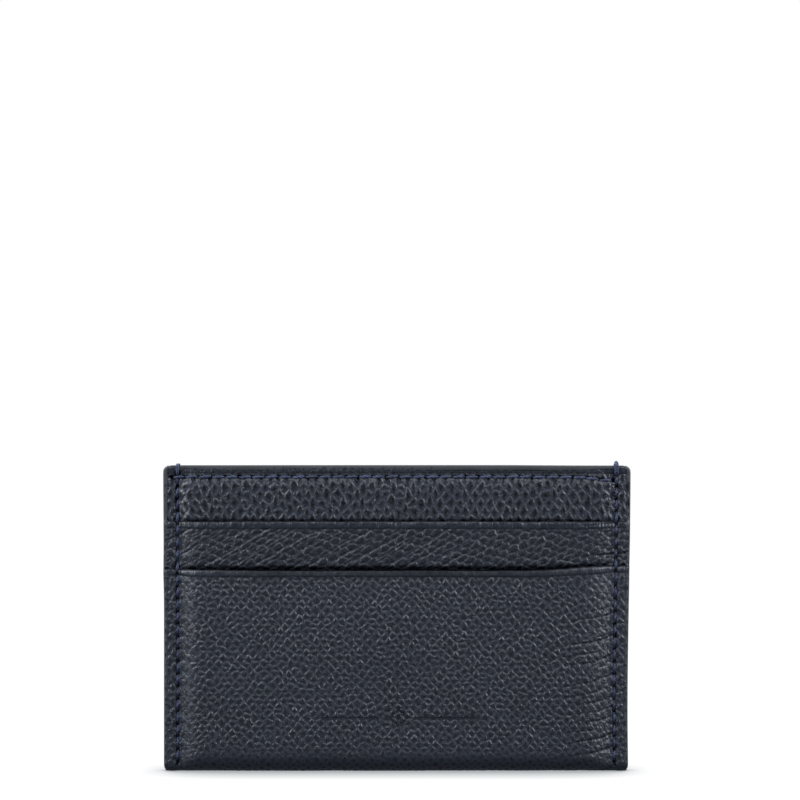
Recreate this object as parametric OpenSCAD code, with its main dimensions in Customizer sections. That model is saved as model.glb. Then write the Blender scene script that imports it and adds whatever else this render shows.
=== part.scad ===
// Card holder: a U-folded leather outer, two stepped card slots on each face and a centre
// pocket, sewn up both sides and along both top edges. It stands on its bottom fold.
// X runs across the holder, the front faces -Y, and Z is up from the bottom of the fold.
// Every layer is placed by its depth, the distance from the middle plane Y = 0.

/* [Outline] */
// Width over the painted side edges
holder_w = 105; // [102:1:115]
// Height from the bottom fold to the painted top edges
holder_h = 68.5; // [67:0.5:72]
// Radius of the two top corners
corner_r = 1.1; // [0.8:0.1:2]
// Height of the bottom fold that is pressed flat, so that the holder can stand
fold_flat = 0.12; // [0.05:0.01:0.2]

/* [Leather and lining] */
// Thickness of the pebbled outer leather
outer_leather_t = 0.65; // [0.5:0.05:0.8]
// Thickness of the skived leather of an upper pocket
pocket_leather_t = 0.45; // [0.4:0.05:0.6]
// Thickness of the leather of a body panel
body_leather_t = 0.5; // [0.4:0.05:0.7]
// Thickness of the reinforcing board
board_t = 0.2; // [0.2:0.05:0.3]
// Thickness of the textile linings
lining_t = 0.15; // [0.1:0.01:0.2]

/* [Pockets] */
// Width of the card that the slots are made for
card_w = 85.6; // [85.6:0.1:86]
// Height of that card
card_h = 53.98; // [53.9:0.01:54]
// Free depth of a card slot, for a card 0.76 thick
slot_gap = 0.85; // [0.8:0.05:1.2]
// Free depth of the centre pocket, for folded notes
centre_gap = 0.5; // [0.5:0.05:0.8]
// Height of the lower pocket's mouth
lower_mouth_z = 45.3; // [45.1:0.1:45.6]
// Height of the upper pocket's mouth
upper_mouth_z = 56; // [55.9:0.1:57]
// How far an upper pocket's leather runs down behind the lower pocket
pocket_overlap = 5.3; // [3:0.1:8]

/* [Seams] */
// Distance from the side edge to the side seam
side_seam_inset = 3.2; // [3:0.1:3.5]
// Stitch length of the side seams
side_pitch = 2.8; // [2.8:0.01:2.82]
// Height of the lowest needle hole in the side seams
side_seam_z = 2.2; // [2.1:0.1:2.3]
// Distance from the top edge down to the top stitching
top_seam_drop = 2.6; // [2.5:0.1:2.8]
// Stitch length of the top and base rows
row_pitch = 3; // [2.9:0.05:3]
// Radius of the needle thread
thread_r = 0.18; // [0.15:0.01:0.18]
// Radius of a needle hole
needle_hole_r = 0.25; // [0.22:0.01:0.28]

/* [Edge paint] */
// How far the rounded edge paint stands off the cut edges
paint_t = 0.35; // [0.2:0.05:0.4]

/* [Hidden] */

FRONT = -1;
BACK = 1;
LEFT = -1;
RIGHT = 1;

leather_colour = [0.19, 0.20, 0.24];
pocket_leather_colour = [0.17, 0.18, 0.22];
lining_colour = [0.10, 0.11, 0.14];
board_colour = [0.55, 0.50, 0.42];
paint_colour = [0.24, 0.25, 0.27];
thread_colour = [0.30, 0.35, 0.50];

// Depths where the layers are free of the side seams, from the middle outwards
board_d = centre_gap / 2 + lining_t;
body_d = board_d + board_t;
body_face = body_d + body_leather_t;
bag_d = body_face + slot_gap;
pocket_mid_d = bag_d + lining_t;
outer_lining_d = pocket_mid_d + pocket_leather_t + slot_gap;
outer_mid_d = outer_lining_d + lining_t;
half_mid = outer_mid_d + outer_leather_t;

// Depths where the side seams press the layers together
pocket_seam_d = body_face;
outer_seam_d = pocket_seam_d + pocket_leather_t;
half_seam = outer_seam_d + outer_leather_t;

// Places across the holder
cut_x = holder_w / 2 - paint_t;
side_seam_x = holder_w / 2 - side_seam_inset;
ramp_in_x = card_w / 2 + 0.8;
ramp_out_x = side_seam_x - 1.3;

// Heights
cut_z = holder_h - paint_t;
top_row_z = holder_h - top_seam_drop;
fold_z = half_mid - fold_flat;
body_bottom_z = 1.2;
pocket_bottom_z = lower_mouth_z - pocket_overlap;
base_row_z = holder_h - 1.8 - card_h - 0.3;
bag_bottom_z = base_row_z - 1.2;
bag_top_z = upper_mouth_z - 1;
board_bottom_z = base_row_z + 1;
lining_bottom_z = 4.3;
lining_top_z = lower_mouth_z - 1;

// Needle holes, along each kind of seam
side_holes = [for (z = [side_seam_z : side_pitch : holder_h - 1.5]) z];
top_row_x = -50.6 * holder_w / 105;
top_row_holes = [for (x = [top_row_x : row_pitch : side_seam_x - 0.6]) x];
base_holes = [for (x = [-14 * row_pitch : row_pitch : 14 * row_pitch]) x];

leg_r = 0.15;
top_bobbin_r = 0.12;
base_bobbin_r = 0.1;
crossing_z = top_row_z - 3;
thread_sides = 8;
bore_sides = 24;
round_sides = 96;

// ---------- helpers ----------

// Lays a shape drawn as [x, depth] and extruded in Z onto the front or the back
module on_side(side) {
    if (side == FRONT)
        mirror([0, 1, 0]) children();
    else
        children();
}

// A flat sheet between two heights, lying from one depth to depth + t
module flat_sheet(half_w, d, t, z0, z1) {
    translate([-half_w, d, z0])
        cube([2 * half_w, t, z1 - z0]);
}

// Cross-section of a sheet that the side seams press down from mid_d to seam_d
module pressed_section(seam_d, mid_d, t, x_end) {
    path = [
        [-x_end, seam_d], [-ramp_out_x, seam_d], [-ramp_in_x, mid_d],
        [ramp_in_x, mid_d], [ramp_out_x, seam_d], [x_end, seam_d]
    ];
    polygon(concat(path, [for (i = [len(path) - 1 : -1 : 0]) path[i] + [0, t]]));
}

// Cross-section of the whole holder out to the given depths, front and back together
module holder_section(seam_d, mid_d, x_end) {
    path = [
        [-x_end, seam_d], [-ramp_out_x, seam_d], [-ramp_in_x, mid_d],
        [ramp_in_x, mid_d], [ramp_out_x, seam_d], [x_end, seam_d]
    ];
    polygon(concat(path, [for (i = [len(path) - 1 : -1 : 0]) [path[i].x, -path[i].y]]));
}

// Side profile of the bottom fold: a round bottom of radius r under straight walls
module fold_profile(r, width, height) {
    rotate([90, 0, 90])
        linear_extrude(width, center = true) {
            translate([0, fold_z])
                circle(r, $fn = round_sides);
            translate([-r, fold_z])
                square([2 * r, height - fold_z]);
        }
}

// Needle holes of both side seams, right through the holder, up to a height
module side_seam_bores(top_z) {
    for (x = [-side_seam_x, side_seam_x])
        for (z = side_holes)
            if (z < top_z)
                translate([x, 0, z])
                    rotate([90, 0, 0])
                        cylinder(h = 4 * half_mid, r = needle_hole_r, center = true, $fn = bore_sides);
}

// Needle holes of a row along X, through one face's layers only
module row_bores(xs, z, depth) {
    for (x = xs)
        translate([x, 0, z])
            rotate([-90, 0, 0])
                cylinder(h = depth, r = needle_hole_r, $fn = bore_sides);
}

// Front outline of a body layer, with its two top corners rounded
module body_outline(z0) {
    r = corner_r - paint_t;
    difference() {
        translate([-cut_x, z0])
            square([2 * cut_x, cut_z - z0]);
        for (s = [-1, 1])
            translate([s * (cut_x - r), cut_z - r])
                difference() {
                    translate([s > 0 ? 0 : -2 * r, 0])
                        square(2 * r);
                    circle(r, $fn = round_sides);
                }
    }
}

// A body layer: that outline, from depth d to d + t
module body_layer(d, t, z0) {
    translate([0, d + t, 0])
        rotate([90, 0, 0])
            linear_extrude(t)
                body_outline(z0);
}

// ---------- leather, board and lining ----------

module outer_panel() {
    color(leather_colour)
        difference() {
            intersection() {
                linear_extrude(lower_mouth_z)
                    holder_section(half_seam, half_mid, cut_x);
                fold_profile(half_mid, holder_w, holder_h);
            }
            intersection() {
                translate([0, 0, -1])
                    linear_extrude(holder_h)
                        holder_section(outer_seam_d, outer_mid_d, holder_w);
                fold_profile(outer_mid_d, 2 * holder_w, holder_h);
            }
            side_seam_bores(lower_mouth_z);
        }
}

module outer_lining(side) {
    color(lining_colour)
        on_side(side)
            flat_sheet(ramp_in_x, outer_lining_d, lining_t, lining_bottom_z, lining_top_z);
}

module upper_pocket(side) {
    color(pocket_leather_colour)
        on_side(side)
            difference() {
                translate([0, 0, pocket_bottom_z])
                    linear_extrude(upper_mouth_z - pocket_bottom_z)
                        pressed_section(pocket_seam_d, pocket_mid_d, pocket_leather_t, cut_x);
                side_seam_bores(upper_mouth_z);
            }
}

module pocket_bag(side) {
    color(lining_colour)
        on_side(side)
            difference() {
                flat_sheet(ramp_in_x, bag_d, lining_t, bag_bottom_z, bag_top_z);
                row_bores(base_holes, base_row_z, half_mid);
            }
}

module body_panel(side) {
    color(leather_colour)
        on_side(side)
            difference() {
                body_layer(body_d, body_leather_t, body_bottom_z);
                side_seam_bores(holder_h);
                row_bores(top_row_holes, top_row_z, half_mid);
                row_bores(base_holes, base_row_z, half_mid);
            }
}

module board(side) {
    color(board_colour)
        on_side(side)
            difference() {
                body_layer(board_d, board_t, board_bottom_z);
                side_seam_bores(holder_h);
                row_bores(top_row_holes, top_row_z, half_mid);
            }
}

// One strip of lining, folded at the bottom into the bag of the centre pocket
module centre_lining() {
    inner_r = centre_gap / 2;
    color(lining_colour)
        difference() {
            union() {
                for (side = [FRONT, BACK])
                    on_side(side)
                        body_layer(inner_r, lining_t, body_bottom_z + board_d);
                intersection() {
                    translate([0, 0, body_bottom_z + board_d])
                        rotate([0, 90, 0])
                            difference() {
                                cylinder(h = 2 * cut_x, r = board_d, center = true, $fn = round_sides);
                                cylinder(h = holder_w, r = inner_r, center = true, $fn = round_sides);
                            }
                    translate([-cut_x, -board_d, 0])
                        cube([2 * cut_x, 2 * board_d, body_bottom_z + board_d]);
                }
            }
            side_seam_bores(holder_h);
            for (side = [FRONT, BACK])
                on_side(side)
                    row_bores(top_row_holes, top_row_z, half_mid);
        }
}

// ---------- sewing thread ----------
// A seam is drawn with the seam along local X and the depth along local Z.

// A straight piece of thread along local X
module thread_float(u0, u1, level, r) {
    translate([u0, 0, level + r])
        rotate([0, 90, 0])
            cylinder(h = u1 - u0, r = r, $fn = thread_sides);
}

// A piece of thread through the layers, from one depth to another
module thread_leg(u, d0, d1) {
    translate([u, 0, d0])
        cylinder(h = d1 - d0, r = leg_r, $fn = thread_sides);
}

// One thread of a lockstitch: a float over each stitch, and a leg down each needle hole
module thread_comb(holes, levels, lock_d, r) {
    n = len(holes);
    for (i = [0 : n - 2])
        thread_float(holes[i] - (i == 0 ? r : 0), holes[i + 1] + (i == n - 2 ? r : 0), levels[i], r);
    for (i = [0 : n - 1])
        thread_leg(holes[i], lock_d, max(levels[max(i - 1, 0)], levels[min(i, n - 2)]) + r);
}

// Turns the local seam axes to X and to the depth of the front or the back
module along_row(side, z) {
    translate([0, 0, z])
        rotate([side == FRONT ? 90 : -90, 0, 0])
            children();
}

// Turns the local seam axes to Z and to the depth of the front or the back
module along_side(end, side) {
    translate([end * side_seam_x, 0, 0])
        rotate([side == FRONT ? 90 : -90, 0, 0])
            rotate([0, 0, side == FRONT ? 90 : -90])
                children();
}

// Depth of the face that a side-seam stitch lies on; the top stitches pass over the top row
function side_level(z) =
    z < lower_mouth_z ? half_seam :
    z < upper_mouth_z ? outer_seam_d :
    z < crossing_z ? body_face : body_face + 2 * thread_r;

side_levels = [for (i = [0 : len(side_holes) - 2]) side_level(side_holes[i])];

// The needle thread lies on the front, and its last stitch wraps over the top edges
module side_needle_thread(end) {
    last_z = side_holes[len(side_holes) - 1];
    wrap_d = side_level(last_z) + thread_r;
    color(thread_colour)
        along_side(end, FRONT) {
            thread_comb(side_holes, side_levels, 0, thread_r);
            thread_float(last_z, holder_h + 2 * thread_r, wrap_d - thread_r, thread_r);
            thread_float(last_z - thread_r, holder_h + 2 * thread_r, -wrap_d - thread_r, thread_r);
            translate([holder_h + thread_r, 0, -wrap_d])
                cylinder(h = 2 * wrap_d, r = thread_r, $fn = thread_sides);
            thread_leg(last_z, -wrap_d, leg_r);
        }
}

// The bobbin thread lies on the back, as far up as the last hole but one
module side_bobbin_thread(end) {
    n = len(side_holes);
    holes = [for (i = [0 : n - 2]) side_holes[i]];
    levels = [for (i = [0 : n - 3]) side_levels[i]];
    color(thread_colour)
        along_side(end, BACK)
            thread_comb(holes, levels, 0, thread_r);
}

top_lock_d = (board_d + body_face) / 2;
top_levels = [for (x = top_row_holes) body_face];
base_lock_d = body_d + body_leather_t / 2;
base_levels = [for (x = base_holes) bag_d + lining_t];

module top_needle_thread(side) {
    color(thread_colour)
        along_row(side, top_row_z)
            thread_comb(top_row_holes, top_levels, top_lock_d, thread_r);
}

// The bobbin thread of a top row lies inside the centre pocket
module top_bobbin_thread(side) {
    floats_d = centre_gap / 2 - 2 * top_bobbin_r;
    color(thread_colour)
        along_row(side, top_row_z)
            bobbin_comb(top_row_holes, floats_d, top_lock_d, top_bobbin_r);
}

// A thread on the inner side of its layers, with its legs reaching outwards
module bobbin_comb(holes, floats_d, lock_d, r) {
    n = len(holes);
    thread_float(holes[0] - r, holes[n - 1] + r, floats_d, r);
    for (u = holes)
        thread_leg(u, floats_d + r, lock_d);
}

// The base row closes the bottom of an upper pocket
module base_needle_thread(side) {
    color(thread_colour)
        along_row(side, base_row_z)
            thread_comb(base_holes, base_levels, base_lock_d, thread_r);
}

module base_bobbin_thread(side) {
    color(thread_colour)
        along_row(side, base_row_z)
            bobbin_comb(base_holes, body_d - 2 * base_bobbin_r, base_lock_d, base_bobbin_r);
}

// ---------- edge paint ----------

// A flat-backed round cap of half width h and height paint_t, drawn with its back on Y = 0
module cap_section(h) {
    r = (h * h + paint_t * paint_t) / (2 * paint_t);
    intersection() {
        translate([0, paint_t - r])
            circle(r, $fn = round_sides);
        translate([-h, 0])
            square([2 * h, paint_t]);
    }
}

// A side edge steps back at each pocket mouth
module side_edge_paint(end) {
    steps = [
        [half_seam, 0, lower_mouth_z],
        [outer_seam_d, lower_mouth_z, upper_mouth_z],
        [body_face, upper_mouth_z, holder_h - corner_r]
    ];
    color(paint_colour)
        intersection() {
            for (s = steps)
                translate([end * cut_x, 0, s[1]])
                    rotate([0, 0, -90 * end])
                        linear_extrude(s[2] - s[1])
                            cap_section(s[0]);
            fold_profile(half_mid, 2 * holder_w, holder_h);
        }
}

// A top edge, with the paint carried round both corners to meet the side edges
module top_edge_paint(side) {
    half_t = (body_face - centre_gap / 2) / 2;
    mid_d = centre_gap / 2 + half_t;
    corner_x = holder_w / 2 - corner_r;
    color(paint_colour)
        on_side(side)
            translate([0, mid_d, 0]) {
                translate([-corner_x, 0, cut_z])
                    rotate([90, 0, 90])
                        linear_extrude(2 * corner_x)
                            cap_section(half_t);
                for (s = [-1, 1])
                    translate([s * corner_x, 0, holder_h - corner_r])
                        intersection() {
                            rotate([90, 0, 0])
                                rotate_extrude($fn = round_sides)
                                    translate([corner_r - paint_t, 0])
                                        rotate(-90)
                                            cap_section(half_t);
                            translate([s > 0 ? 0 : -2 * corner_r, -half_t, 0])
                                cube([2 * corner_r, 2 * half_t, 2 * corner_r]);
                        }
            }
}

outer_panel();
outer_lining(FRONT);  // front_outer_lining
outer_lining(BACK);  // back_outer_lining
upper_pocket(FRONT);  // front_upper_pocket
upper_pocket(BACK);  // back_upper_pocket
pocket_bag(FRONT);  // front_pocket_bag
pocket_bag(BACK);  // back_pocket_bag
body_panel(FRONT);  // front_body_panel
body_panel(BACK);  // back_body_panel
board(FRONT);  // front_board
board(BACK);  // back_board
centre_lining();
side_needle_thread(LEFT);  // left_needle_thread
side_bobbin_thread(LEFT);  // left_bobbin_thread
side_needle_thread(RIGHT);  // right_needle_thread
side_bobbin_thread(RIGHT);  // right_bobbin_thread
top_needle_thread(FRONT);  // front_top_needle_thread
top_bobbin_thread(FRONT);  // front_top_bobbin_thread
top_needle_thread(BACK);  // back_top_needle_thread
top_bobbin_thread(BACK);  // back_top_bobbin_thread
base_needle_thread(FRONT);  // front_base_needle_thread
base_bobbin_thread(FRONT);  // front_base_bobbin_thread
base_needle_thread(BACK);  // back_base_needle_thread
base_bobbin_thread(BACK);  // back_base_bobbin_thread
side_edge_paint(LEFT);  // left_edge_paint
side_edge_paint(RIGHT);  // right_edge_paint
top_edge_paint(FRONT);  // front_top_edge_paint
top_edge_paint(BACK);  // back_top_edge_paint
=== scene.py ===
"""Looks of the sewn leather card holder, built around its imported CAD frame.

Lengths are in millimetres until a mesh is made, and every mesh is in metres in the CAD frame:
X across, the front faces -Y, Z up. A depth is a distance from the middle plane Y = 0.
"""

import math

import bpy
import numpy as np
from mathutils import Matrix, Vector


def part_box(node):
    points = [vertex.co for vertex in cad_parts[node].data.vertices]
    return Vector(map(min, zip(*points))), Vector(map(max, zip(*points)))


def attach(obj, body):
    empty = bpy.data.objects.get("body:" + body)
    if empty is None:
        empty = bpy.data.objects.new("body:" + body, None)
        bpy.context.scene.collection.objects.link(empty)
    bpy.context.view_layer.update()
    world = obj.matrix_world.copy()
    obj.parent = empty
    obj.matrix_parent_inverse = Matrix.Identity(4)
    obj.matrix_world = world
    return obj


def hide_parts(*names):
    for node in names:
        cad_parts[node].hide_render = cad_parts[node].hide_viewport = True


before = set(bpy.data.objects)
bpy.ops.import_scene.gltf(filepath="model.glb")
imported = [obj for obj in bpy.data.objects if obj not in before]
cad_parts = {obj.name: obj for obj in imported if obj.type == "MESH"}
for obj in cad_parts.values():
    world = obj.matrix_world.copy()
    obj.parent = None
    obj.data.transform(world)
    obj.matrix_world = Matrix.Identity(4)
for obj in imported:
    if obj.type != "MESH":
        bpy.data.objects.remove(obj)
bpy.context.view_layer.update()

BODY = "root"
MM = 0.001
FRONT, BACK = -1, 1

# ---------- places, from the frame


def box_mm(node):
    """Lowest and highest corner of a CAD node, in millimetres."""
    low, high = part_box(node)
    return np.array(low) / MM, np.array(high) / MM


outer_high = box_mm("outer_panel")[1]
pocket_low, pocket_high = box_mm("back_upper_pocket")
body_low, body_high = box_mm("back_body_panel")
bag_low, bag_high = box_mm("back_pocket_bag")
outer_lining_high = box_mm("back_outer_lining")[1]
centre_low, centre_high = box_mm("centre_lining")
side_paint_high = box_mm("right_edge_paint")[1]
top_paint_low, top_paint_high = box_mm("back_top_edge_paint")
side_thread_low, side_thread_high = box_mm("right_bobbin_thread")
top_thread_low, top_thread_high = box_mm("back_top_needle_thread")
top_bobbin_low = box_mm("back_top_bobbin_thread")[0]
base_thread_low, base_thread_high = box_mm("back_base_needle_thread")
base_bobbin_low = box_mm("back_base_bobbin_thread")[0]

CUT_X = outer_high[0]
EDGE_X = side_paint_high[0]
TOP_Z = top_paint_high[2]
LOWER_MOUTH = outer_high[2]
UPPER_MOUTH = pocket_high[2]

OUTER_FACE = outer_high[1]
OUTER_BACK = outer_lining_high[1]
OUTER_SEAM = side_paint_high[1]
POCKET_FACE = pocket_high[1]
POCKET_BACK = bag_high[1]
BODY_FACE = body_high[1]
BODY_BACK = body_low[1]
POCKET_SEAM = BODY_FACE + POCKET_FACE - POCKET_BACK

SEAM_X = (side_thread_low[0] + side_thread_high[0]) / 2
RAMP_OUT = SEAM_X - 1.1
THREAD_R = (side_thread_high[0] - side_thread_low[0]) / 2
SIDE_PITCH, TOP_PITCH = 2.8, 3.0
SIDE_Z0 = side_thread_low[2] + THREAD_R
SIDE_HOLES = np.arange(SIDE_Z0, TOP_Z - 1.5, SIDE_PITCH)
TOP_ROW_Z = (top_thread_low[2] + top_thread_high[2]) / 2
TOP_STITCHES = round((top_thread_high[0] - top_thread_low[0]) / TOP_PITCH)
BASE_ROW_Z = (base_thread_low[2] + base_thread_high[2]) / 2
BASE_STITCHES = 28


def holes_between(low, high, stitches):
    """Needle holes of a row across the holder, from the box of its thread."""
    return np.linspace(low[0] + THREAD_R, high[0] - THREAD_R, stitches + 1)


TOP_ROW_HOLES = holes_between(top_thread_low, top_thread_high, TOP_STITCHES)
BASE_HOLES = holes_between(base_thread_low, base_thread_high, BASE_STITCHES)

# ---------- noise and cells


def hashed(i, j, seed):
    """A repeatable number from 0 to 1 for each pair of whole numbers."""
    n = i.astype(np.int64) * 374761393 + j.astype(np.int64) * 668265263 + seed * 1274126177
    n = (n ^ (n >> 13)) & 0x7FFFFFFF
    n = (n * 1103515245 + 12345) & 0x7FFFFFFF
    n = (n ^ (n >> 11)) & 0x7FFFFFFF
    n = (n * 214013 + 2531011) & 0x7FFFFFFF
    return ((n >> 7) & 0xFFFF) / 65535.0


def smooth(t):
    """An S-curve: 0 up to t = 0, and 1 from t = 1."""
    t = np.clip(t, 0.0, 1.0)
    return t * t * (3.0 - 2.0 * t)


def noise(u, v, size, seed):
    """Smooth noise from -1 to 1 with features of about that size."""
    u, v = np.broadcast_arrays(np.asarray(u, float) / size, np.asarray(v, float) / size)
    i, j = np.floor(u), np.floor(v)
    a, b = smooth(u - i), smooth(v - j)
    low = hashed(i, j, seed) * (1 - a) + hashed(i + 1, j, seed) * a
    high = hashed(i, j + 1, seed) * (1 - a) + hashed(i + 1, j + 1, seed) * a
    return 2.0 * (low * (1 - b) + high * b) - 1.0


def cells(u, v, seed, squash, jitter=0.55):
    """Distance to the nearest border of staggered cells, and each cell's number.

    Columns and rows are 1 apart, and every other row is shifted by half a column. A row counts
    as squash apart: at 0.5 the cells come out as diamonds, and at 1 as bricks.
    """
    j0 = np.floor(v)
    pu, pv, ids = [], [], []
    for dj in (-2, -1, 0, 1, 2):
        j = j0 + dj
        shift = 0.5 * np.mod(j, 2)
        for di in (-1, 0, 1):
            i = np.floor(u - shift) + di
            pu.append(i + 0.5 + shift + jitter * (hashed(i, j, seed) - 0.5))
            pv.append(squash * (j + 0.5 + jitter * (hashed(i, j, seed + 7) - 0.5)))
            ids.append(hashed(i, j, seed + 13))
    pu, pv, ids = np.array(pu), np.array(pv), np.array(ids)
    v = squash * v
    reach = (pu - u) ** 2 + (pv - v) ** 2
    nearest = np.argmin(reach, axis=0)[None]
    nu = np.take_along_axis(pu, nearest, 0)
    nv = np.take_along_axis(pv, nearest, 0)
    best = np.take_along_axis(reach, nearest, 0)
    apart = np.sqrt((pu - nu) ** 2 + (pv - nv) ** 2)
    border = np.where(apart > 1e-6, (reach - best) / (2.0 * np.maximum(apart, 1e-6)), 9.0)
    return border.min(axis=0), np.take_along_axis(ids, nearest, 0)[0]


# ---------- meshes


def cut_corner(x, edge, size):
    """How far a corner cut off at 45 degrees falls away at each x."""
    return np.clip(np.abs(x) - (edge - size), 0.0, size)


def round_corner(x, edge, r):
    """How far a rounded corner falls away at each x."""
    return r - np.sqrt(r * r - cut_corner(x, edge, r) ** 2)


def warp(points):
    """The slight taper and waviness of the real outline, put on every visible piece.

    The right end of the lower mouth is also sewn in a little high.
    """
    x, y, z = points[..., 0], points[..., 1], points[..., 2]
    down = 1.0 - np.clip(z / TOP_Z, 0.0, 1.0)
    right = np.clip(x / EDGE_X, 0.0, 1.0)
    left = np.clip(-x / EDGE_X, 0.0, 1.0)
    bulge = 0.10 * np.exp(-(((z - 45.0) / 4.0) ** 2))
    new_x = x - right * (0.70 * smooth(down * 1.25) - 0.12 * smooth(4 * (down - 0.8)))
    new_x = new_x + left * (0.22 * smooth(down * 2.0) - bulge)
    lift = 0.16 * smooth((6.0 - z) / 6.0) * noise(x, 0, 34.0, 5)
    wave = 0.08 * np.clip(z / TOP_Z, 0, 1) * noise(x, 0, 22.0, 3)
    pulled = 0.75 * smooth((x - 30.0) / 17.0) * np.exp(-(((z - LOWER_MOUTH) / 4.0) ** 2))
    corner = round_corner(x, EDGE_X, 0.9) * smooth((3.0 - z) / 3.0)
    new_z = z + wave + pulled + np.maximum(lift, 0.0) + corner
    return np.stack([new_x, y, new_z], axis=-1)


def mesh_of(name, points, quads, caps):
    """A smooth-shaded mesh in metres, from quads and a list of many-sided caps."""
    mesh = bpy.data.meshes.new(name)
    sizes = [4] * len(quads) + [len(cap) for cap in caps]
    corners = np.concatenate([quads.ravel()] + [np.asarray(cap) for cap in caps])
    starts = np.concatenate([[0], np.cumsum(sizes)[:-1]])
    mesh.vertices.add(len(points))
    mesh.vertices.foreach_set("co", (points * MM).astype(np.float32).ravel())
    mesh.loops.add(len(corners))
    mesh.loops.foreach_set("vertex_index", corners.astype(np.int32))
    mesh.polygons.add(len(sizes))
    mesh.polygons.foreach_set("loop_start", starts.astype(np.int32))
    mesh.polygons.foreach_set("use_smooth", np.ones(len(sizes), bool))
    mesh.update(calc_edges=True)
    mesh.validate()
    return mesh


def link(name, data):
    """A new object in the scene."""
    obj = bpy.data.objects.new(name, data)
    bpy.context.scene.collection.objects.link(obj)
    return obj


def piece(name, points, faces, slot, node, values=None):
    """A mesh object that rides on the holder and stands for its CAD node."""
    points = warp(np.asarray(points, float).reshape(-1, 3))
    points[:, 2] = np.maximum(points[:, 2], 0.0)
    mesh = mesh_of(name, points, *faces)
    for key, data in (values or {}).items():
        layer = mesh.attributes.new(key, "FLOAT", "POINT")
        layer.data.foreach_set("value", np.asarray(data, np.float32).ravel())
    mesh.materials.append(MATERIALS[slot])
    obj = link(name, mesh)
    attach(obj, BODY)
    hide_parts(node)
    return obj


def loft_faces(rows, cols, outward, start=0):
    """Quads of a tube of closed rows, and its two end caps. outward is 1 or -1."""
    index = start + np.arange(rows * cols).reshape(rows, cols)
    after = np.roll(index, -1, axis=0)
    quads = np.stack([index[:, :-1], after[:, :-1], after[:, 1:], index[:, 1:]], axis=-1)
    quads = quads.reshape(-1, 4)
    caps = [index[:, 0][::-1], index[:, -1]]
    if outward < 0:
        quads = quads[:, ::-1]
        caps = [cap[::-1] for cap in caps]
    return quads, caps


def lofted(name, points, outward, slot, node, values=None):
    """A piece from a closed loft of rows and columns of points."""
    faces = loft_faces(*points.shape[:2], outward)
    return piece(name, points, faces, slot, node, values)


def normals_of(points, side):
    """Outward normals of a lofted sheet whose rows run up its outer face."""
    along = np.gradient(points, axis=1)
    up = np.roll(points, -1, axis=0) - np.roll(points, 1, axis=0)
    n = np.cross(up, along) * side
    return n / np.maximum(np.linalg.norm(n, axis=-1, keepdims=True), 1e-9)


def columns(step, fine_step):
    """Places across the holder, closer together near the side seams."""
    inner = SEAM_X - 2.4
    middle = np.linspace(-inner, inner, int(round(2 * inner / step)) + 1)
    end = np.linspace(inner, CUT_X, int(round((CUT_X - inner) / fine_step)) + 1)[1:]
    return np.concatenate([-end[::-1], middle, end])


def line(d0, z0, d1, z1, n):
    """n points from one (depth, height) to another, without the last."""
    t = np.arange(n) / n
    return np.stack([d0 + (d1 - d0) * t, z0 + (z1 - z0) * t], axis=-1)


def arc(d, z, r, a0, a1, n):
    """n points of an arc about (depth, height), in degrees, without the last."""
    a = np.radians(a0 + (a1 - a0) * np.arange(n) / n)
    return np.stack([d + r * np.cos(a), z + r * np.sin(a)], axis=-1)


def press(x):
    """0 where the layers are free, up to 1 where the side seams press them together."""
    reach = np.where(x < 0, 4.6, 7.5)
    t = np.clip((RAMP_OUT - np.abs(x)) / reach, 0.0, 1.0)
    return (1.0 - t) ** 2.1


# ---------- leather relief


def near_hole(along, start, pitch):
    """Distance along a seam to its nearest needle hole."""
    return np.abs((along - start + pitch / 2) % pitch - pitch / 2)


def needle_hole(across, along):
    """1 in the middle of a needle hole, falling to 0 around it."""
    return np.exp(-((across / 0.34) ** 2 + (along / 0.60) ** 2))


def core_shade(groove):
    """Painted shade on the middle of each pebble, furthest from the pale network."""
    return smooth((0.33 - groove) / 0.20)


def seam_relief(x, z):
    """How the side seams pull the leather in, and how much painted shade darkens each needle hole.
    """
    across = np.abs(x) - SEAM_X
    along = near_hole(z, SIDE_Z0, SIDE_PITCH)
    sewn = smooth((z - SIDE_Z0 + 1.6) / 1.0)
    valley = np.exp(-((across / 0.38) ** 2)) * sewn
    hole = needle_hole(across, along) * sewn
    inside = np.clip(-across - 0.3, 0.0, None)
    pucker = 0.20 * (along / SIDE_PITCH - 0.25) * np.exp(-inside / 2.2) * (across < -0.3)
    margin = 0.17 * np.exp(-(((across - 1.2) / 0.85) ** 2))
    return margin + pucker - 0.30 * valley - 0.42 * hole, np.maximum(hole, 0.5 * valley)


def top_row_z(x):
    """The top row runs level, then drops a little to meet the right side seam."""
    return TOP_ROW_Z - 0.8 * smooth((x - 40.5) / 8.0)


def row_relief(x, z):
    """The same for the row of stitches along the top."""
    across = z - top_row_z(x)
    pitch = TOP_ROW_HOLES[1] - TOP_ROW_HOLES[0]
    along = near_hole(x, TOP_ROW_HOLES[0], pitch)
    sewn = smooth(x - TOP_ROW_HOLES[0] + 1.5) * smooth(TOP_ROW_HOLES[-1] + 1.5 - x)
    valley = np.exp(-((across / 0.5) ** 2)) * sewn
    hole = needle_hole(across, along) * sewn
    return -0.16 * valley - 0.40 * hole, np.maximum(hole, 0.30 * valley)


def strip_swell(x, z):
    """How far the top strip stands out between the upper mouth and the top edge."""
    rise = smooth((z - UPPER_MOUTH + 0.9) / 1.6) * smooth((TOP_Z - z) / 5.5)
    inside = SEAM_X - 0.4 - np.abs(x)
    swell = 0.60 * smooth(inside / np.where(x < 0, 2.6, 3.2))
    puff = 0.50 * np.clip(inside / 2.4, 0, 1) * smooth((6.5 - inside) / 4.1) * (x < 0)
    return rise * (swell + puff)


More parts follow.
